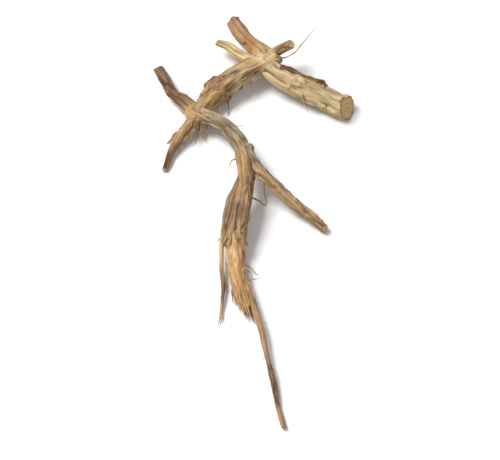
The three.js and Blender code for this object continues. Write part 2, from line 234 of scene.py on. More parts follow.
# Broad splinters at the frayed end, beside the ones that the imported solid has
BROAD_SPLINTERS = [
    [(5.6, -60.0, 2.4, 1.1), (4.9, -65.4, 2.2, 0.85), (5.6, -69.6, 1.5, 0.16)],
    [(6.2, -61.0, 2.6, 1.1), (5.9, -66.4, 2.8, 0.8), (6.7, -71.0, 2.2, 0.12)],
    [(5.0, -59.0, 2.0, 0.8), (4.4, -64.4, 1.6, 0.55), (4.6, -68.4, 0.9, 0.1)],
    [(7.0, -62.0, 2.8, 0.9), (7.2, -67.4, 3.0, 0.6), (7.9, -72.2, 2.4, 0.1)],
    [(1.3, -69.6, 1.0, 0.4), (0.9, -72.8, 0.8, 0.3), (0.3, -75.6, 0.5, 0.08)],
    [(1.4, -69.0, 1.2, 0.36), (1.3, -72.6, 1.1, 0.26), (1.5, -74.9, 0.8, 0.06)],
]
END_FIBRES = 60  # fine ones at the frayed end
TORN_FIBRES = 46  # fine ones under the lower knot
WOOD_FIBRES = 34  # lifted ones on the bare wood
SPLINTERS = 9  # thick ones at the frayed end
LOWEST = 0.2  # the middle of a fibre's tip is no lower

# The kinds of thin pieces: how many sides they have, how thick they are as a share of their width, how far
# they stray from their line, how far apart their rings are, and the seed of the first one
KINDS = {
    "skirt": (20, 0.4, 0.5, 0.25, 60),
    "torn_fibre": (8, 0.4, 0.7, 0.35, 160),
    "splinter": (16, 0.6, 0.12, 0.25, 80),
    "broad_splinter": (18, 0.5, 0.25, 0.25, 95),
    "end_fibre": (6, 0.6, 0.25, 0.4, 180),
    "rootlet": (8, 0.8, 0.45, 0.3, 30),
    "crown_hair": (6, 0.9, 0.3, 0.5, 300),
    "hair": (5, 0.9, 0.2, 0.3, 310),
    "wood_fibre": (6, 0.6, 0.04, 0.5, 400),
}

# How many fine hairs stand off each root, and the points of the long one at the crown
HAIRS = {
    "limb_a": 7, "limb_e": 4, "upper_left_root": 4, "lower_left_root": 5, "long_root": 14,
    "side_root": 6, "tail_rootlet": 7, "stem_stub": 2,
}
CROWN_HAIR = [
    (18.0, 7.9, 8.9, 0.28), (20.4, 8.6, 9.2, 0.22), (22.9, 10.6, 9.3, 0.18), (25.8, 15.0, 9.0, 0.14),
    (29.0, 19.9, 8.4, 0.06),
]

# Loose scales of bark: the root, the control point they start from, how many degrees they sit to the
# right of its top, length, width and how far they lift
BARK_SCALES = [
    ("long_root", 8.62, -48, 4.4, 1.7, 0.35), ("long_root", 8.7, -8, 3.8, 1.9, 0.3),
    ("long_root", 8.66, 34, 5.2, 1.5, 0.45), ("long_root", 8.75, 70, 3.6, 1.6, 0.35),
    ("long_root", 8.7, -92, 3.8, 1.6, 0.4), ("long_root", 6.6, 18, 5.5, 1.4, 0.35),
    ("long_root", 3.4, -20, 4.0, 1.3, 0.3), ("long_root", 7.6, -30, 4.6, 1.3, 0.3),
    ("limb_a", 2.2, 30, 4.0, 1.6, 0.4), ("limb_a", 3.2, -14, 4.6, 1.5, 0.35),
    ("limb_e", 1.6, -62, 6.0, 1.6, 0.3), ("limb_e", 2.6, -70, 5.4, 1.4, 0.3),
    ("side_root", 2.6, -12, 4.6, 1.2, 0.35),
    ("side_root", 4.2, 26, 4.0, 1.1, 0.3), ("stem_stub", 2.2, 16, 4.0, 1.2, 0.3),
    ("upper_left_root", 1.4, -20, 3.6, 1.1, 0.35),
]
SCALE_SHADE = 0.95  # how dark they are beside the bark under them

# The strip of dark bark that is left on the upper edge of the pale limb
BARK_STRIP = [(19.0, 5.6, 8.6), (22.4, 4.6, 8.2), (26.4, 2.9, 7.4), (29.6, 1.6, 6.6)]
BARK_STRIP_HALF_WIDTH = 1.15
BARK_STRIP_HEIGHT = 0.22

# The bark's wrinkles from coarse to fine: how dense they are round and along the grain, their seed, their
# height, how dark the painted shade in their hollows is, and how wide their hollows are
WRINKLES = ((0.62, 0.5, 11, 0.42, 0.85, 0.19), (1.3, 0.6, 12, 0.36, 0.6, 0.27), (2.5, 0.9, 13, 0.13, 0, 0.1))


def linear(rgb):
    """An sRGB colour from 0 to 255 as a linear one."""
    shares = np.array(rgb) / 255
    return np.where(shares <= 0.04045, shares / 12.92, ((shares + 0.055) / 1.055) ** 2.4)


def seeded(seed):
    """Random numbers from 0 to 1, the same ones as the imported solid's, by the same sums."""
    state = seed * 9301.0 + 49297.0
    while True:
        state = math.fmod(state * 1103515245.0 + 12345.0, 2147483648.0)
        yield state / 2147483648.0


def smooth(low, high, value):
    """0 below low, 1 above high, and a smooth ramp between them."""
    share = np.clip((value - low) / (high - low), 0, 1)
    return share * share * (3 - 2 * share)


def stacked(*columns):
    """Vectors from their columns; a lone number is repeated."""
    return np.stack(np.broadcast_arrays(*columns), axis=-1)


def turns_round(sides):
    """The turn of each side of a ring."""
    return np.arange(sides) * 2 * math.pi / sides


def between(at, steps, rows):
    """Vectors read off between the steps that the rows belong to."""
    return np.stack([np.interp(at, steps, column) for column in rows.T], axis=-1)


# Noise


def lattice(cells, seed):
    """A random number from -1 to 1 for each whole-number cell."""
    x, y, z = (cells[:, k].astype(np.int64) for k in range(3))
    mixed = (x * 374761393 + y * 668265263 + z * 1442695041 + seed * 1274126177) & 0xFFFFFFFF
    mixed = ((mixed ^ (mixed >> 13)) * 1274126177) & 0xFFFFFFFF
    mixed = ((mixed ^ (mixed >> 15)) * 2246822519) & 0xFFFFFFFF
    return (mixed ^ (mixed >> 16)) / 2147483647.5 - 1


def noise(points, seed):
    """Smooth noise from -1 to 1, with features about one unit wide."""
    cells = np.floor(points)
    inside = points - cells
    ease = inside * inside * (3 - 2 * inside)
    total = np.zeros(len(points))
    for corner in range(8):
        step = np.array([corner & 1, corner >> 1 & 1, corner >> 2 & 1])
        share = np.where(step, ease, 1 - ease).prod(axis=1)
        total += share * lattice(cells + step, seed)
    return total


def layered(points, seed, layers=3):
    """Noise in ever finer layers, each half as strong."""
    return sum(noise(points * 2.1**k, seed + 7 * k) * 0.5**k for k in range(layers)) / 1.6


# The centrelines


def through(points, steps):
    """Points along the centripetal curve through some points, steps to a stretch, and each one's stretch."""
    p = np.array(points, float)
    p = np.vstack([2 * p[0] - p[1], p, 2 * p[-1] - p[-2]])
    found, shares = [], []
    for i in range(1, len(p) - 2):
        a, b, c, d = p[i - 1 : i + 3]
        ab, bc, cd = (max(np.sum((v - u) ** 2) ** 0.25, 1e-4) for u, v in ((a, b), (b, c), (c, d)))
        leave = ((b - a) / ab - (c - a) / (ab + bc) + (c - b) / bc) * bc
        reach = ((c - b) / bc - (d - b) / (bc + cd) + (d - c) / cd) * bc
        for t in np.arange(steps) / steps:
            bend = (3 * (c - b) - 2 * leave - reach) * t**2 + (2 * (b - c) + leave + reach) * t**3
            found.append(b + leave * t + bend)
            shares.append(i - 1 + t)
    found.append(p[-2])
    shares.append(len(points) - 1)
    return np.array(found), np.array(shares)


def unit(vectors):
    return vectors / np.maximum(np.linalg.norm(vectors, axis=-1, keepdims=True), 1e-12)


def centreline(points, spacing=0.35):
    """A root's centreline at even steps: places, radii, tangents, two sideways ways that don't twist, the
    length up to each place, and which control point it is near."""
    dense, shares = through([p[:3] for p in points], 60)
    run = np.concatenate([[0], np.cumsum(np.linalg.norm(np.diff(dense, axis=0), axis=1))])
    count = max(3, int(round(run[-1] / spacing)) + 1)
    along = np.linspace(0, run[-1], count)
    place = between(along, run, dense)
    stretch = np.interp(along, run, shares)
    radius = np.interp(stretch, range(len(points)), [p[3] for p in points])
    tangent = unit(np.gradient(place, along, axis=0))
    first = np.eye(3)[np.argmin(np.abs(tangent[0]) - np.arange(3) * 1e-9)]
    across = unit(np.cross(tangent[0], first))
    side = [np.cross(tangent[0], across)]
    for t in tangent[1:]:
        side.append(unit(side[-1] - t * (side[-1] @ t)))
    side = np.array(side)
    over = np.cross(tangent, side)
    return dict(
        place=place, radius=radius, tangent=tangent, side=side, over=over, along=along, stretch=stretch
    )


def relief(around, along, furrow, seed):
    """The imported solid's furrows, as a share of the radius."""
    wander = 0.9 * np.sin(along * 0.23 + seed * 1.7) + 0.4 * np.sin(along * 0.61 + seed * 2.9)
    flats = np.cos(3 * around + 0.06 * along + seed + wander)
    folds = 1 - 2 * np.abs(np.sin(2.5 * around - wander * 1.5 + seed * 2.3))
    wrinkles = np.cos(7 * around + wander * 2 + seed * 0.7) * np.cos(along * 0.4 + 2 * around + seed)
    nodes = np.sin(along * 0.55 + seed * 3.1) + 0.7 * np.sin(along * 1.27 + around + seed)
    return furrow * (0.7 * flats + 0.75 * folds + 0.7 * wrinkles + 0.45 * nodes)


LINES = {name: centreline(root["points"]) for name, root in ROOTS.items()}


def skin_radius(name, along, around):
    """How far a root's furrowed skin is from its centreline, with all its bark on."""
    line, root = LINES[name], ROOTS[name]
    radius = np.interp(along, line["along"], line["radius"])
    return radius * (1 + relief(around, along, root["furrow"], root["seed"]))


def at_length(name, along, around, lift, peel=True):
    """The point of a root's skin at a length and a turn, and its place in the grain."""
    line = LINES[name]
    place, side, over = (between(along, line["along"], line[key]) for key in ("place", "side", "over"))
    out = side * np.sin(around)[..., None] - over * np.cos(around)[..., None]
    radius = skin_radius(name, along, around)
    if name == "long_root" and peel:
        radius = radius - BARK_THICKNESS * smooth(-0.1, 0.1, BARK_STEP_Y - place[..., 1])
    length = along * STRETCH + GRAIN_APART * ROOTS[name]["seed"]
    grain = stacked(radius * np.sin(around), -radius * np.cos(around), length)
    return place + out * (radius + lift)[..., None], grain


# What grows from the roots


def growths():
    """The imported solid's rootlets and scars: is it a rootlet, start, skin, tip, radius."""
    found = []
    for name, rootlets, scars, seed in GROWTHS:
        draw = seeded(seed)
        line, points = LINES[name], ROOTS[name]["points"]
        count = rootlets + scars
        for i in range(count):
            is_rootlet = i * rootlets % count < rootlets
            share = 0.1 + 0.78 * (i + next(draw)) / count
            at = share * (len(line["along"]) - 1)
            start, tangent = (between(at, range(len(line[key])), line[key]) for key in ("place", "tangent"))
            girth = points[int(math.floor(share * (len(points) - 1) + 0.5))][3]
            lift = 0.9 * next(draw) - 0.6 if is_rootlet else 2.2 * next(draw) - 0.7
            out = unit(np.cross((0, 0, 1), tangent))
            out = out * math.cos(lift) * (1 if next(draw) < 0.5 else -1)
            out[2] += math.sin(lift)
            reach = girth + 1.2 + 2.2 * next(draw) if is_rootlet else girth + 0.3
            lean = 1.5 + 3 * next(draw) if is_rootlet else 0.5
            skin = start + out * girth * 0.95 + tangent * lean * 0.2
            tip = start + out * reach + tangent * lean
            tip[2] = max(tip[2] - (0.6 if is_rootlet else 0), 0.45)
            thick = 0.55 if is_rootlet else 1.0 + 0.3 * next(draw)
            found.append((is_rootlet, start, skin, tip, thick))
    return found


GROWN = growths()
SCARS = [
    dict(
        at=tuple(tip - unit(tip - start) * SCAR_DEPTH), half=(thick * 0.8,) * 3, rough=0.05,
        seed=90 + i, mark=tip - unit(tip - start) * MARK_DEPTH,
    )
    for i, (is_rootlet, start, skin, tip, thick) in enumerate(GROWN)
    if not is_rootlet
]


# The skin as a distance field


def peeled(points, around):
    """How far the long root's bark is gone: 0 above its ragged edge, 1 below, and the way up from it."""
    large, small, uneven = BARK_TEETH
    edge = BARK_STEP_Y + large * np.sin(3 * around + 1) + small * np.sin(7 * around)
    ring = stacked(np.cos(around) * 1.6, np.sin(around) * 1.6, 0)
    above = points[:, 1] - edge - uneven * layered(ring, 5)
    return smooth(0.1, -0.1, above), above


def root_field(name, points):
    """How far some points are outside one root, the way out, and where they are on the root."""
    line, root = LINES[name], ROOTS[name]
    place, tangent = line["place"], line["tangent"]
    blocks = np.array_split(points, max(1, len(points) // POINTS_AT_ONCE))
    nearest = np.concatenate([((b[:, None] - place[None]) ** 2).sum(axis=2).argmin(axis=1) for b in blocks])
    half = (line["along"][1] - line["along"][0]) / 2
    away = points - place[nearest]
    ahead = (away * tangent[nearest]).sum(axis=1)
    last = nearest == len(place) - 1
    room = np.where(last & (root["cut"] is not None), PAST_CUT, half)
    slid = np.clip(ahead, -half, room)
    away = away - tangent[nearest] * slid[:, None]
    reach = np.linalg.norm(away, axis=1)
    aside = (away * line["side"][nearest]).sum(axis=1)
    above = (away * line["over"][nearest]).sum(axis=1)
    around = np.arctan2(aside, -above)
    along = line["along"][nearest] + slid
    radius = skin_radius(name, along, around)
    bare, edge = np.zeros(len(points)), np.full(len(points), FAR)
    if name == "long_root":
        bare, edge = peeled(points, around)
        radius = radius - BARK_THICKNESS * bare
    outside = reach - radius
    way = away / np.maximum(reach, 1e-9)[:, None]
    cut = np.zeros(len(points))
    if root["cut"] is not None:
        facing = unit(tangent[-1] - root["cut"] * line["side"][-1])
        beyond = (points - place[-1]) @ facing + 0.16 * noise(points * 0.7, 23)
        beyond = beyond + 0.1 * noise(points * 2.1, 30)
        cut = smooth(-0.12, 0.12, beyond - outside)
        way = unit(way * (1 - cut)[:, None] + facing * cut[:, None])
        outside = np.maximum(outside, beyond) + 0.05 * cut * (1 - cut)
    return outside, way, dict(
        grain=stacked(aside, above, along * STRETCH + GRAIN_APART * root["seed"]),
        cut=cut, rim=reach / np.maximum(radius, 0.1), bare=bare, edge=edge,
        stretch=np.interp(along, line["along"], line["stretch"]),
    )


def ball_field(ball, points):
    """How far some points are outside a knob or a scar, and the way out."""
    half = np.array(ball["half"])
    scaled = (points - np.array(ball["at"])) / half
    reach = np.linalg.norm(scaled, axis=1)
    x, y, z = (scaled / np.maximum(reach, 1e-9)[:, None]).T
    seed = ball["seed"]
    lumps = np.sin(3.1 * x + seed) * np.sin(3.7 * y + 2 * seed)
    lumps = lumps + 0.6 * np.sin(6.3 * z + seed) * np.sin(5.9 * x - seed)
    return (reach / (1 + ball["rough"] * lumps) - 1) * half.min(), unit(scaled / half)


def all_fields(points):
    """How far some points are outside each root, knob and scar, the ways out, and the places on each root."""
    shapes = list(ROOTS) + KNOBS + SCARS
    outside = np.full((len(points), len(shapes)), FAR)
    ways = np.zeros((len(points), len(shapes), 3))
    told = {}
    for i, shape in enumerate(shapes):
        is_root = isinstance(shape, str)
        places = LINES[shape]["place"] if is_root else np.array([shape["at"]])
        room = 6.0 if is_root else max(shape["half"]) + 3
        inside = (points > places.min(axis=0) - room) & (points < places.max(axis=0) + room)
        near = np.nonzero(inside.all(axis=1))[0]
        if not len(near):
            continue
        if is_root:
            outside[near, i], ways[near, i], found = root_field(shape, points[near])
            told[i] = (shape, near, found)
        else:
            outside[near, i], ways[near, i] = ball_field(shape, points[near])
    return outside, ways, told


def shares_of(outside, width):
    """How much each shape counts at each point: the nearest most, and a far one not at all."""
    weight = np.exp(-(outside - outside.min(axis=1, keepdims=True)) / width)
    return weight / weight.sum(axis=1, keepdims=True)


def settled(points):
    """Some points near the skin, moved onto it, and the way out at each."""
    for _ in range(3):
        outside, ways, _ = all_fields(points)
        least = outside.min(axis=1)
        distance = least - FILLET * np.log(np.exp(-(outside - least[:, None]) / FILLET).sum(axis=1))
        way = unit((shares_of(outside, FILLET)[:, :, None] * ways).sum(axis=1))
        points = points - way * np.clip(distance, -0.4, 0.4)[:, None]
    return points, way


# The bark's and the wood's own pattern


def bark(grain):
    """The bark's wrinkles in mm, how deep in one each point is, which sets the painted shade in its hollows,
    and the streaks of its colour.
    """
    wander = layered(grain * (0.4, 0.4, 0.8), 3)[:, None] * (0.3, 0.3, 0.06)
    height, hollow_shade = 0, 0
    for dense, along, seed, high, dark, wide in WRINKLES:
        fold = np.abs(noise((grain + wander) * (dense, dense, along), seed))
        height = height + high * (fold - 0.3)
        # Painted shade: the deeper in a wrinkle's hollow, the darker the colour will be
        hollow_shade = hollow_shade + dark * smooth(wide, 0.0, fold)
    swell = layered(grain * (0.5, 0.5, 1.6), 14)
    across = 1 - smooth(0.0, 0.1, np.abs(noise(grain * (0.5, 0.5, 6.0), 15)))
    across = across * smooth(0.1, 0.4, noise(grain * (0.35, 0.35, 1.5) + 40, 16))
    height = height + 0.13 * swell - 0.05 * across
    # The cross cracks get painted shade too
    hollow_shade = np.maximum(hollow_shade, 0.35 * across)
    streak = layered(grain * (1.1, 1.1, 1.3) + 70, 17, 4)
    return height, np.clip(hollow_shade, 0, 1), streak


def knob_grain(knob, points):
    """The places of some points in the grain that runs over a knob."""
    ahead = unit(np.array(knob["way"], float))
    side = unit(np.cross(ahead, (0, 0, 1)))
    local = points - np.array(knob["at"]) + 1.2 * layered(points * 0.25, 29)[:, None]
    along = (local @ ahead) * STRETCH * KNOB_SHORTER + GRAIN_APART * knob["seed"]
    return stacked(local @ side, local @ np.cross(side, ahead), along)


def wood(grain):
    """Bare wood's fibres in mm, how deep in a split or between fibres each point is, which sets the painted
    shade there, and the streaks of its colour.
    """
    wander = layered(grain * (0.5, 0.5, 1.0), 4)[:, None] * (0.2, 0.2, 0.04)
    fibres = layered((grain + wander) * (2.6, 2.6, 0.8), 18)
    splits = smooth(0.07, 0.0, np.abs(noise((grain + wander) * (0.9, 0.9, 0.45), 19)))
    broad = noise((grain + wander) * (0.7, 0.7, 0.6), 20)
    height = 0.17 * fibres - 0.14 * splits + 0.12 * broad
    # The second value is painted shade in the splits and in the low places between fibres
    return height, np.clip(0.45 * splits + 0.35 * smooth(-0.1, -0.5, fibres), 0, 1), fibres + 0.5 * broad


def tinted(colour, paint, share):
    """The colours with a paint over them, by a share for each."""
    share = share[:, None]
    return colour * (1 - share) + linear(PAINTS[paint]) * share


def wood_paint(streak):
    """Bare wood's colour, paler and darker along its fibres."""
    colour = tinted(linear(PAINTS["wood"]), "heart", 0.75 * smooth(0.05, 0.8, streak))
    return tinted(colour, "tan", 0.5 * smooth(-0.1, -0.8, streak))


def paint_along(name, stretch, jitter):
    """A root's paint at places along it, moved a little by the jitter, as linear colours."""
    rows = np.array([linear(PAINTS[word]) for word in ROOTS[name]["paints"].split()])
    return between(np.clip(stretch + jitter, 0, len(rows) - 1), range(len(rows)), rows)


def patched(colour, points):
    """The colours with the patches on them."""
    warp = layered(points * 0.45, 21)
    fleck = noise(points * 2.2, 22)
    for at, radius, name, strength in PATCHES:
        near = np.linalg.norm(points - np.array(at), axis=1) / radius + 0.5 * warp + 0.12 * fleck
        colour = tinted(colour, name, strength * smooth(1.2, 0.45, near))
    return colour


def bark_strip(points):
    """1 on the strip of dark bark along the pale limb, and 0 off it, with a ragged edge."""
    line, _ = through(BARK_STRIP, 8)
    near = np.min(np.linalg.norm(points[:, None] - line[None], axis=2), axis=1)
    ragged = near + 0.5 * layered(points * (0.5, 0.9, 0.9), 19)
    return smooth(BARK_STRIP_HALF_WIDTH + 0.12, BARK_STRIP_HALF_WIDTH - 0.12, ragged)


def crevices(outside, ways):
    """1 in the clefts between shapes that meet, and 0 away from them; the skin is dented there and its colour
    darkened as painted shade.
    """
    close = shares_of(outside, FILLET)
    rows = np.arange(len(close))
    second, first = np.argsort(close, axis=1)[:, -2:].T
    apart = 1 - (ways[rows, first] * ways[rows, second]).sum(axis=1)
    return smooth(0.1, 0.45, close[rows, second]) * smooth(0.2, 0.8, apart)


def scarred(points, height, colour):
    """The heights and colours with a pale dent and a dark rim where each rootlet fell off."""
    for scar in SCARS:
        away = np.linalg.norm(points - scar["mark"], axis=1) / SCAR_RIM
        near = away < 1.6
        away = away[near] + 0.45 * noise(points[near] * 1.9, 28)
        height[near] -= SCAR_DENT * smooth(0.8, 0.1, away)
        tint = tinted(colour[near], "umber", 0.4 * smooth(0.45, 0.8, away) * smooth(1.3, 0.9, away))
        colour[near] = tinted(tint, "wood", 0.4 * smooth(0.6, 0.2, away))
    return height, colour


def gathered(points, outside, told):
    """The roots' and the knobs' own patterns and paints, run into each other where they meet."""
    blend = shares_of(outside[:, : len(ROOTS) + len(KNOBS)], GRAIN_BLEND)
    close = shares_of(outside, FILLET)
    count = len(points)
    height, hollow_shade, streak, bare, face, rim = (np.zeros(count) for _ in range(6))
    colour, grain = np.zeros((count, 3)), np.zeros((count, 3))
    winner = blend.argmax(axis=1)
    for i, (shape, near, found) in told.items():
        used = np.nonzero(blend[near, i] > 0.01)[0]
        at, share = near[used], blend[near[used], i]
        g, b = found["grain"][used], found["bare"][used]
        is_root = isinstance(shape, str)
        rough = ROOTS[shape]["rough"] if is_root else KNOB_ROUGH
        bark_height, bark_hollow_shade, bark_streak = bark(g)
        if is_root:
            lip = LIP * np.exp(-(((found["edge"][used] - 0.35) / 0.45) ** 2))
            tint = paint_along(shape, found["stretch"][used], 0.5 * bark_streak)
            face[near] += close[near, i] * found["cut"]
            rim[near] += close[near, i] * found["rim"]
        else:
            lip = KNOB_LUMPS * layered(points[at] * 0.6, 25)
            tint = np.tile(linear(PAINTS[shape["paint"]]), (len(at), 1))
        wood_height, wood_hollow_shade, wood_streak = wood(g)
        height[at] += share * ((rough * bark_height + lip) * (1 - b) + wood_height * b)
        # Painted shade of the bark's hollows and the wood's splits, mixed like the rest
        hollow_shade[at] += share * ((0.4 + 0.6 * rough) * bark_hollow_shade * (1 - b) + wood_hollow_shade * b)
        streak[at] += share * (bark_streak * (1 - b) + 0.8 * wood_streak * b)
        bare[at] += share * b
        colour[at] += share[:, None] * (tint * (1 - b)[:, None] + wood_paint(wood_streak) * b[:, None])
        mine = winner[at] == i
        grain[at[mine]] = g[mine]
    clean = smooth(0.5, 0.75, blend.max(axis=1))
    return height, hollow_shade, streak, bare, smooth(0.35, 0.65, face), rim, colour, grain, clean


def marked(points, way):
    """Points of the skin, moved by its wrinkles and marks, and what the material reads at each."""
    outside, ways, told = all_fields(points)
    for i, knob in enumerate(KNOBS, len(ROOTS)):
        near = np.nonzero(outside[:, i] < 3)[0]
        told[i] = (knob, near, dict(grain=knob_grain(knob, points[near]), bare=np.zeros(len(near))))
    height, hollow_shade, streak, bare, face, rim, colour, grain, clean = gathered(points, outside, told)
    cleft = crevices(outside, ways) * (1 - face)
    strip = bark_strip(points) * (1 - face)
    sawn = 0.12 * layered(points * 1.3, 26) - 0.14 * smooth(0.4, 0.1, rim) + 0.14 * smooth(0.82, 0.95, rim)
    sawn = sawn + 0.05 * np.sin(FACE_RINGS * rim)
    height = (height * (1 - 0.5 * strip) + BARK_STRIP_HEIGHT * strip) * (1 - face) + sawn * face
    height = height * (1 - 0.6 * cleft) - CREVICE_DEPTH * cleft
    # Painted shade in the clefts where roots meet, and none on cut ends
    hollow_shade = np.maximum(hollow_shade, 0.9 * cleft) * (1 - face)
    colour = patched(colour, points) * (1 - bare)[:, None] + colour * bare[:, None]
    colour = tinted(colour, "brown", strip)
    colour = colour * (1 + STREAK_SHADE * np.clip(streak, -0.9, 0.9) * (1 - 0.4 * bare))[:, None]
    height, colour = scarred(points, height, colour)
    points = points + way * height[:, None]
    points[:, 2] = np.maximum(points[:, 2], 0.0)
    # marks: how clean the pattern is, the painted shade of hollows and clefts, and how bare the wood is
    marks, ends = stacked(clean, hollow_shade, bare), stacked(face, np.clip(rim, 0, 1.3), strip)
    return points, dict(grain=grain, paint=colour, marks=marks, ends=ends)


# Meshes


def tube(line, radii, slant=None):
    """A closed tube round a centreline; radii has a row for each place and a column for each side."""
    rings, sides = radii.shape
    turn = turns_round(sides)
    over = -line["over"][:, None] * np.cos(turn)[None, :, None]
    side = line["side"][:, None] * np.sin(turn)[None, :, None]
    corners = line["place"][:, None] + (over + side) * radii[:, :, None]
    if slant is not None:
        corners[-1] += line["tangent"][-1] * (slant * radii[-1] * np.sin(turn))[:, None]
    at = np.arange(rings * sides).reshape(rings, sides)
    here, there = at[:-1], at[1:]
    quads = stacked(here, np.roll(here, -1, 1), np.roll(there, -1, 1), there).reshape(-1, 4)
    return corners.reshape(-1, 3), quads.tolist() + [at[0][::-1].tolist(), at[-1].tolist()]


def joined(parts):
    """Several corner and face lists as one."""
    corners, faces, start = [], [], 0
    for more, rows in parts:
        corners.append(more)
        faces += [[i + start for i in row] for row in rows]
        start += len(more)
    return np.concatenate(corners), faces


def new_object(name, data):
    """A new object in the scene."""
    ob = bpy.data.objects.new(name, data)
    bpy.context.scene.collection.objects.link(ob)
    return ob


def mesh_object(name, corners, faces):
    """A new object of these corners and faces, in the units they come in."""
    mesh = bpy.data.meshes.new(name)
    mesh.from_pydata(corners.tolist(), [], faces)
    mesh.update()
    return new_object(name, mesh)


def outward(ob):
    """Turns every face of closed shells to face out."""
    work = bmesh.new()
    work.from_mesh(ob.data)
    bmesh.ops.recalc_face_normals(work, faces=work.faces)
    work.to_mesh(ob.data)
    work.free()


def remeshed(ob, voxel):
    """The corners and faces of an object's even skin; the object itself goes."""
    change = ob.modifiers.new("even", "REMESH")
    change.mode = "VOXEL"
    change.voxel_size = voxel
    made = evaluated(ob)
    corners = np.zeros(len(made.vertices) * 3)
    made.vertices.foreach_get("co", corners)
    faces = [list(face.vertices) for face in made.polygons]
    bpy.data.meshes.remove(made)
    bpy.data.objects.remove(ob)
    return corners.reshape(-1, 3), faces


def evaluated(ob):
    """A new mesh of an object as its modifiers make it."""
    graph = bpy.context.evaluated_depsgraph_get()
    return bpy.data.meshes.new_from_object(ob.evaluated_get(graph))


def thinned(ob, triangles):
    """The object with about so many triangles, the small ones where it bends most."""
    change = ob.modifiers.new("thin", "DECIMATE")
    change.ratio = min(1, triangles / (2 * len(ob.data.polygons)))
    made = evaluated(ob)
    ob.modifiers.clear()
    ob.data = made
    return ob


def rough_ball(ball, sides=20, rings=13):
    """A plain ball for the remesh, at a knob's or a scar's place."""
    rises = np.linspace(0.02, 0.98, rings) * math.pi
    turns, rises = np.meshgrid(turns_round(sides), rises)
    ways = stacked(np.sin(rises) * np.cos(turns), np.sin(rises) * np.sin(turns), np.cos(rises))
    corners = np.array(ball["at"]) + ways * np.array(ball["half"])
    at = np.arange(rings * sides).reshape(rings, sides)
    here, there = at[:-1], at[1:]
    quads = stacked(here, there, np.roll(there, -1, 1), np.roll(here, -1, 1)).reshape(-1, 4)
    return corners.reshape(-1, 3), quads.tolist() + [at[0].tolist(), at[-1][::-1].tolist()]


def build_skin():
    """The whole root's fine skin, with its wrinkles, bark step, scars and cut ends."""
    turn = turns_round(DRAFT_SIDES)
    parts = [
        tube(LINES[name], skin_radius(name, LINES[name]["along"][:, None], turn[None]), root["cut"])
        for name, root in ROOTS.items()
    ]
    parts += [rough_ball(ball) for ball in KNOBS + SCARS]
    draft = mesh_object("draft", *joined(parts))
    outward(draft)
    corners, faces = remeshed(draft, VOXEL)
    corners, read = marked(*settled(corners))
    return thinned(readable(mesh_object("root_skin", corners * METRES, faces), read), SKIN_TRIANGLES)


def readable(ob, read):
    """An object with the vectors that the material reads at each corner."""
    for name, rows in read.items():
        found = ob.data.attributes.new(name, "FLOAT_VECTOR", "POINT")
        found.data.foreach_set("vector", rows.astype(np.float32).ravel())
    return ob


# Strands, rootlets and flakes


def strand(points, kind, i):
    """A thin fibre through some points, the i-th one of its kind, as corners, faces and grain."""
    sides, thick, stray, spacing, first_seed = KINDS[kind]
    seed = first_seed + i
    line = centreline(points, spacing)
    along = line["along"]
    at = stacked(along * 0.4, seed * 3.1, 0)
    ease = np.minimum(1, along / 2.0)[:, None]
    drift = noise(at, seed)[:, None] * line["side"] + noise(at + 9.5, seed)[:, None] * line["over"]
    line["place"] = line["place"] + stray * ease * drift
    line["place"][:, 2] = np.maximum(line["place"][:, 2], line["radius"] * 0.7)
    turn = turns_round(sides)
    ripple = 0.24 * noise(stacked(along * 1.3, 0, seed), 3)
    radii = (line["radius"] * (1 + ripple))[:, None] * (1 - (1 - thick) * np.abs(np.cos(turn + seed)))
    grain = stacked(radii * np.sin(turn), radii * np.cos(turn), along[:, None] * STRETCH).reshape(-1, 3)
    grain = grain + (0, 0, 3.3 * seed)
    ridges = wood(grain * (1.6, 1.6, 1.0))[0].reshape(radii.shape)
    corners, faces = tube(line, radii * (1 + 1.6 * ridges))
    return corners, faces, grain


def finished(name, strands, paints):
    """An object of thin pieces, whose paint names are taken in turn; a piece may bring its own colours."""
    corners, faces = joined([part[:2] for part in strands])
    ob = mesh_object(name, corners * METRES, faces)
    outward(ob)
    words = paints.split()
    colour = [
        part[3] if len(part) > 3 else np.tile(linear(PAINTS[words[i % len(words)]]), (len(part[0]), 1))
        for i, part in enumerate(strands)
    ]
    flecks = noise(corners * (0.5, 0.35, 0.5), 31)
    return readable(ob, dict(
        grain=np.concatenate([part[2] for part in strands]),
        paint=np.concatenate(colour) * (1 + 0.25 * flecks)[:, None],
        marks=np.tile((1.0, 0.0, 0.0), (len(corners), 1)),
        ends=np.zeros((len(corners), 3)),
    ))


def length_at(name, stretch):
    """How far along a root one of its control points is, or a share between two of them."""
    line = LINES[name]
    return float(np.interp(stretch, line["stretch"], line["along"]))


def turn_at(name, along, roll):
    """The turn round a root that faces up, or roll degrees to its right as seen along it."""
    line = LINES[name]
    i = int(round(np.interp(along, line["along"], range(len(line["along"])))))
    right = unit(np.cross(line["tangent"][i], (0, 0, 1)))
    up = np.cross(right, line["tangent"][i])
    way = up * math.cos(math.radians(roll)) + right * math.sin(math.radians(roll))
    return math.atan2(way @ line["side"][i], -(way @ line["over"][i]))


def on_skin(name, along, roll, lift):
    """The point of a root's skin at a length and a roll, lifted off it."""
    place, _ = at_length(name, along, np.array(turn_at(name, along, roll)), lift)
    return place


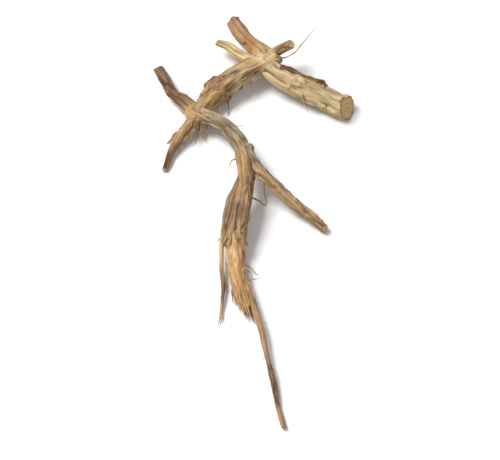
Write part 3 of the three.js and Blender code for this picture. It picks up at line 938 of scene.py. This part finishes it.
def build_torn_knot():
    """The torn strands and fibres under the lower knot."""
    middle = (*LOWER_KNOT["at"], 0.5)
    strands = []
    for i, points in enumerate(SKIRT):
        rows = [(*place, radius * thin) for (*place, radius), thin in zip(points, (1.0, 0.95, 0.5))]
        strands.append(strand([middle] + rows, "skirt", i))
    draw = np.random.default_rng(5)
    for i in range(TORN_FIBRES):
        base = np.array(SKIRT[i % len(SKIRT)])
        beside = np.array(SKIRT[(i + 1) % len(SKIRT)])
        points = base + (beside - base) * draw.uniform(0, 1)
        points[:, :3] += draw.normal(0, 1, (3, 3)) * np.array([[0.3], [0.6], [1.2]])
        points[2, :3] = points[1, :3] + (points[2, :3] - points[1, :3]) * draw.uniform(0.3, 1.35)
        points[:, 3] = draw.uniform(0.12, 0.5) ** 1.3 * np.array([1.3, 1.0, 0.25])
        points[2, 2] = max(points[2, 2], LOWEST)
        strands.append(strand(np.vstack([middle, points]), "torn_fibre", i))
    return finished("torn_fibres_knot", strands, "ochre tan sand orange ochre brown wood tan")


def build_frayed_end():
    """The long root's end, split into splinters of uneven length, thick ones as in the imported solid."""
    x, y, z, _ = ROOTS["long_root"]["points"][-2]
    draw = seeded(77)
    strands = []
    for i in range(SPLINTERS):
        turn = (i + 0.6 * next(draw)) * 2 * math.pi / SPLINTERS
        across, up = math.cos(turn) * 1.15, math.sin(turn)
        length = 3.4 + 3.4 * next(draw)
        start = np.array([x + across - 0.8, y + 2.2, z + up])
        end = np.array([x + across * 1.25 + length * 0.3, y - length, max(z + up * 1.15, 0.5)])
        middle = (start + end) / 2 + (0.1, 0, 0.15)
        strands.append(strand([(*start, 0.8), (*middle, 0.56), (*end, 0.14)], "splinter", i))
    strands += [strand(points, "broad_splinter", i) for i, points in enumerate(BROAD_SPLINTERS)]
    draw = np.random.default_rng(9)
    for i in range(END_FIBRES):
        turn = draw.uniform(0, 2 * math.pi)
        out = np.array([math.cos(turn) * 1.8, 0, math.sin(turn) * 1.6])
        start = np.array([x - 0.9, y + draw.uniform(2, 6), z + 0.2]) + out
        length = draw.uniform(3, 8.0)
        end = start + (length * 0.28, -length, 0) + out * draw.uniform(-0.2, 0.5)
        end[2] = max(end[2], LOWEST)
        middle = (start + end) / 2 + draw.uniform(-0.3, 0.3, 3)
        thick = draw.uniform(0.08, 0.26)
        strands.append(strand([(*start, thick), (*middle, thick * 0.8), (*end, 0.05)], "end_fibre", i))
    return finished("frayed_end", strands, "wood ochre wood tan wood orange")


def build_rootlets():
    """The rootlets that stand out of the bark, with bends and fine ends of their own."""
    strands = []
    draw = np.random.default_rng(12)
    for i, (is_rootlet, start, skin, tip, thick) in enumerate(GROWN):
        if not is_rootlet:
            continue
        bend = skin + (tip - skin) * 0.55 + draw.uniform(-0.5, 0.5, 3)
        end = tip + unit(tip - skin) * draw.uniform(0.4, 2.2) + draw.uniform(-0.8, 0.8, 3)
        end[2] = max(end[2], 0.15)
        widths = (thick * 0.7, thick * 0.5, 0.19, 0.13, 0.04)
        points = [(*place, width) for place, width in zip((start, skin, bend, tip, end), widths)]
        strands.append(strand(points, "rootlet", i))
    return finished("rootlets", strands, "tan brown sand")


def build_hairs():
    """Fine root hairs, a few to each root, and the long one that stands off the crown."""
    strands = [strand(CROWN_HAIR, "crown_hair", 0)]
    draw = np.random.default_rng(21)
    for name, count in HAIRS.items():
        line = LINES[name]
        for _ in range(count):
            along = draw.uniform(0.12, 0.92) * line["along"][-1]
            roll = draw.uniform(-115, 115)
            root = on_skin(name, along, roll, -0.2)
            out = unit(root - on_skin(name, along, roll, -0.9))
            k = int(np.searchsorted(line["along"], along))
            ahead = line["tangent"][min(k, len(line["tangent"]) - 1)]
            length = draw.uniform(0.9, 4.0)
            ahead = unit(ahead + draw.normal(0, 0.6, 3))
            first = root + out * length * draw.uniform(0.15, 0.4) + ahead * length * 0.25
            second = first + ahead * length * 0.4 + draw.normal(0, 0.14, 3) * length
            last = second + ahead * length * 0.35 + draw.normal(0, 0.2, 3) * length
            thick = draw.uniform(0.05, 0.12)
            points = [(*root, thick), (*first, thick * 0.85), (*second, thick * 0.65), (*last, thick * 0.3)]
            strands.append(strand(points, "hair", len(strands)))
    return finished("root_hairs", strands, "brown")


def build_lifted_fibres():
    """Fibres that lie along the bare wood, some of them lifted at one end."""
    strands = []
    draw = np.random.default_rng(33)
    for i in range(WOOD_FIBRES):
        start = length_at("long_root", draw.uniform(9.1, 12.4))
        length = draw.uniform(2.5, 8)
        roll = draw.uniform(-110, 110)
        rise = 0.7 * draw.uniform(0, 1) ** 3
        lifts = (-0.1, 0.0, 0.03 + rise * 0.25, 0.04 + rise)
        thick = draw.uniform(0.07, 0.15)
        points = []
        for k, lift in enumerate(lifts):
            place = on_skin("long_root", start + length * k / 3, roll + draw.normal(0, 0.8), lift)
            points.append((*place, thick * (1, 1, 0.8, 0.3)[k]))
        strands.append(strand(points, "wood_fibre", i))
    return finished("lifted_fibres", strands, "wood heart ochre wood tan")


def scale_of_bark(name, stretch, roll, length, width, lift, seed):
    """A thin ragged scale of bark that is rooted at one end and lifts off the root at the other."""
    rows, columns = 26, 11
    shape = (rows, columns)
    u = np.broadcast_to(np.linspace(0, 1, rows)[:, None], shape)
    v = np.broadcast_to(np.linspace(-1, 1, columns)[None], shape)
    torn = noise(stacked(v * 2.3, 0, 5.3 * seed).reshape(-1, 3), 41).reshape(shape)
    waved = noise(stacked(u * 4.5, v * 0.6, 3.7 * seed).reshape(-1, 3), 42).reshape(shape)
    along = length_at(name, stretch) + length * u * (0.9 + 0.3 * torn)
    half = width / 2 * (0.75 + 0.6 * waved) * (1 - 0.5 * u**2) * smooth(-0.12, 0.2, u)
    line = LINES[name]
    radius = np.interp(along, line["along"], line["radius"])
    around = turn_at(name, length_at(name, stretch), roll) + v * half / radius
    _, grain = at_length(name, along, around, 0, False)
    grain = grain.reshape(-1, 3)
    height, hollow_shade, streak = bark(grain)
    rise = (ROOTS[name]["rough"] * height).reshape(shape) + (lift + 0.12) * u**1.6 - 0.1 + 0.08 * waved * u
    top, _ = at_length(name, along, around, rise + 0.06 * (1 - v**4), False)
    bottom, _ = at_length(name, along, around, rise - 0.08, False)
    corners = np.concatenate([top.reshape(-1, 3), bottom.reshape(-1, 3)])
    corners[:, 2] = np.maximum(corners[:, 2], 0.05)
    at = np.arange(rows * columns).reshape(shape)
    quads = stacked(at[:-1, :-1], at[:-1, 1:], at[1:, 1:], at[1:, :-1]).reshape(-1, 4)
    ring = np.concatenate([at[0, :-1], at[:-1, -1], at[-1, :0:-1], at[:0:-1, 0]])
    under = rows * columns
    walls = stacked(ring, np.roll(ring, -1), np.roll(ring, -1) + under, ring + under)
    faces = quads.tolist() + (quads[:, ::-1] + under).tolist() + walls[:, ::-1].tolist()
    tint = paint_along(name, np.interp(along.ravel(), line["along"], line["stretch"]), 0.5 * streak)
    # Darker in the wrinkles' hollows: painted shade
    tint = patched(tint, top.reshape(-1, 3)) * (1 + STREAK_SHADE * streak - 0.4 * hollow_shade)[:, None]
    tint = tint * SCALE_SHADE
    # The under side of each scale is painted darker than its top: painted shade
    return corners, faces, np.concatenate([grain, grain]), np.concatenate([tint, tint * 0.8])


def build_scales():
    """Scales of loose bark along the bark's torn edge and on the limbs."""
    return finished("bark_scales", [scale_of_bark(*row, seed) for seed, row in enumerate(BARK_SCALES)], "tan")


def dress(ob, material):
    """Shades a piece smoothly, paints it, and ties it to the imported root."""
    ob.data.materials.append(material)
    ob.data.polygons.foreach_set("use_smooth", [True] * len(ob.data.polygons))
    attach(ob, BODY)
    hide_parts(NODE)


# Materials


class Nodes:
    """A material's node tree, with short calls for the nodes used here."""

    def __init__(self, name):
        self.material = bpy.data.materials.new(name)
        self.material.use_nodes = True
        self.tree = self.material.node_tree
        self.shader = self.tree.nodes["Principled BSDF"].inputs

    def link(self, source, target):
        """Puts a number or a colour in a socket, or links an output to it."""
        if isinstance(source, (int, float, tuple)):
            target.default_value = source
        else:
            self.tree.links.new(source, target)

    def node(self, kind, sources, output=0, **settings):
        """An output of a new node, whose sockets get these numbers, colours or outputs."""
        node = self.tree.nodes.new(kind)
        for key, value in settings.items():
            setattr(node, key, value)
        for socket, source in sources.items():
            self.link(source, node.inputs[socket])
        return node.outputs[output]

    def read(self, name):
        """A mesh attribute's vector, and its three numbers."""
        source = self.node("ShaderNodeAttribute", {}, "Vector", attribute_name=name)
        split = self.tree.nodes.new("ShaderNodeSeparateXYZ")
        self.link(source, split.inputs[0])
        return source, *split.outputs

    def sum(self, kind, a, b=0.0):
        return self.node("ShaderNodeMath", {0: a, 1: b}, operation=kind)

    def ramp(self, value, low, high, to_low=0.0, to_high=1.0):
        sources = {"Value": value, "From Min": low, "From Max": high, "To Min": to_low, "To Max": to_high}
        return self.node("ShaderNodeMapRange", sources, interpolation_type="SMOOTHSTEP")

    def mix(self, share, a, b, kind="MIX"):
        return self.node("ShaderNodeMix", {0: share, 6: a, 7: b}, 2, data_type="RGBA", blend_type=kind)

    def blend(self, share, a, b):
        return self.node("ShaderNodeMix", {0: share, 2: a, 3: b})

    def scaled(self, vector, scale):
        return self.node("ShaderNodeMapping", {"Vector": vector, "Scale": scale})

    def noise(self, vector, scale, detail, rough):
        sources = {"Vector": vector, "Scale": scale, "Detail": detail, "Roughness": rough}
        return self.node("ShaderNodeTexNoise", sources, "Fac")


def sawn_face(n, grain, rim, speck):
    """A cut end's colour: pale wood with rings of small dark vessels, and dark bark round it."""
    heart, pale, tan, brown = ((*linear(PAINTS[name]), 1) for name in ("heart", "wood", "tan", "brown"))
    rings = n.ramp(n.sum("SINE", n.sum("MULTIPLY", rim, FACE_RINGS)), -0.2, 0.9)
    vessels = n.node("ShaderNodeTexVoronoi", {"Vector": grain, "Scale": 2.9}, "Distance")
    dots = n.sum("MULTIPLY", n.ramp(vessels, 0.34, 0.16), rings)
    colour = n.mix(n.ramp(speck, 0.38, 0.62), heart, pale)
    colour = n.mix(n.sum("MULTIPLY", rings, 0.4), colour, tan)
    colour = n.mix(n.sum("MULTIPLY", dots, 0.85), colour, brown)
    edge = n.sum("ADD", rim, n.ramp(speck, 0.3, 0.7, -0.07, 0.07))
    return n.mix(n.ramp(edge, 0.84, 0.96), colour, brown)


def bark_material():
    """Dried bark and bare wood, from the skin's own grain, paint and marks, with painted shade in its hollows
    and clefts and a painted highlight on its fibres' ridges.
    """
    n = Nodes("dried_bark")
    grain, paint = n.read("grain")[0], n.read("paint")[0]
    _, clean, hollow_shade, _ = n.read("marks")
    _, face, rim, strip = n.read("ends")
    spot = n.scaled(n.node("ShaderNodeTexCoord", {}, "Object"), (1 / METRES,) * 3)
    lengthwise = n.noise(n.scaled(grain, (3.4, 3.4, 1.6)), 1.0, 5.0, 0.62)
    allround = n.ramp(n.noise(spot, 1.9, 5.0, 0.62), 0.0, 1.0, 0.3, 0.7)
    thread = n.blend(clean, allround, lengthwise)
    speck = n.noise(spot, 3.1, 4.0, 0.7)
    colour = paint
    # Where each tint starts, where it is full, how strong it is there, and the tint
    for reading, start, full, strength, tint in (
        (thread, 0.5, 0.36, 0.75, (0.56, 0.5, 0.45)),
        # Painted highlight: the fibres' ridges, high in the bump, are made lighter
        (thread, 0.54, 0.7, 0.5, (1.35, 1.33, 1.28)),
        (speck, 0.57, 0.72, 0.34, (0.5, 0.42, 0.36)),
        # Painted shade in the hollows of wrinkles and splits and in the clefts where roots meet
        (hollow_shade, 0.1, 0.95, 0.82, (0.3, 0.22, 0.17)),
    ):
        colour = n.mix(n.ramp(reading, start, full, 0.0, strength), colour, (*tint, 1), "MULTIPLY")
    crust = n.mix(n.ramp(lengthwise, 0.4, 0.62), (0.5, 0.46, 0.44, 1), (1.15, 1.1, 1.05, 1))
    colour = n.mix(strip, colour, n.mix(1.0, colour, crust, "MULTIPLY"))
    n.link(n.mix(face, colour, sawn_face(n, grain, rim, speck)), n.shader["Base Color"])
    n.link(n.ramp(thread, 0.3, 0.7, 0.95, 0.72), n.shader["Roughness"])
    n.link(0.3, n.shader["Specular IOR Level"])
    height = n.sum("ADD", n.sum("MULTIPLY", thread, 0.7), n.sum("MULTIPLY", speck, 0.3))
    bump = n.node("ShaderNodeBump", {"Strength": 0.8, "Distance": 0.3 * METRES, "Height": height})
    n.link(bump, n.shader["Normal"])
    return n.material


# The room


def build_floor():
    """A plain pale floor that the root lies on."""
    reach = 2.0
    corners = np.array([(-reach, -reach, 0), (reach, -reach, 0), (reach, reach, 0), (-reach, reach, 0)])
    floor = mesh_object("floor", corners, [[0, 1, 2, 3]])
    n = Nodes("pale_floor")
    n.link((0.8, 0.8, 0.8, 1), n.shader["Base Color"])
    n.link(0.9, n.shader["Roughness"])
    n.link(0.1, n.shader["Specular IOR Level"])
    floor.data.materials.append(n.material)


def aim(ob, place, target):
    """Puts a lamp or the camera in its place, looking at a target."""
    ob.location = place
    ob.rotation_euler = (Vector(target) - Vector(place)).to_track_quat("-Z", "Y").to_euler()


def area_light(name, place, target, size, power):
    """A square soft light."""
    lamp = bpy.data.lights.new(name, "AREA")
    lamp.size = size
    lamp.energy = power
    aim(new_object(name, lamp), place, target)


def build_light():
    """Soft light from the upper left and a wide weak one from the right, in a pale room."""
    middle = (0.008, -0.04, 0)
    area_light("key", (-0.34, 0.16, 0.56), middle, 0.3, 6.6)
    area_light("fill", (0.55, -0.45, 0.5), middle, 0.8, 1.6)
    world = bpy.data.worlds.new("pale_room")
    world.use_nodes = True
    sky = world.node_tree.nodes["Background"]
    sky.inputs["Color"].default_value = (1, 1, 1, 1)
    sky.inputs["Strength"].default_value = 0.38
    bpy.context.scene.world = world


def build_camera():
    """A long lens that looks down on the root at the photograph's viewing angle."""
    target = Vector((9.3, -46.0, 3.0)) * METRES
    elevation = math.radians(60)
    distance = 1.0
    lens = bpy.data.cameras.new("camera")
    lens.lens = 254
    lens.sensor_width = 36
    camera = new_object("camera", lens)
    aim(camera, target + distance * Vector((0, -math.cos(elevation), math.sin(elevation))), target)
    bpy.context.scene.camera = camera


build_camera()
build_light()
build_floor()
bark_paint = bark_material()
BUILDERS = (
    build_skin, build_torn_knot, build_frayed_end, build_rootlets, build_hairs, build_lifted_fibres,
    build_scales,
)
for builder in BUILDERS:
    dress(builder(), bark_paint)
bpy.context.scene.view_settings.view_transform = "Standard"
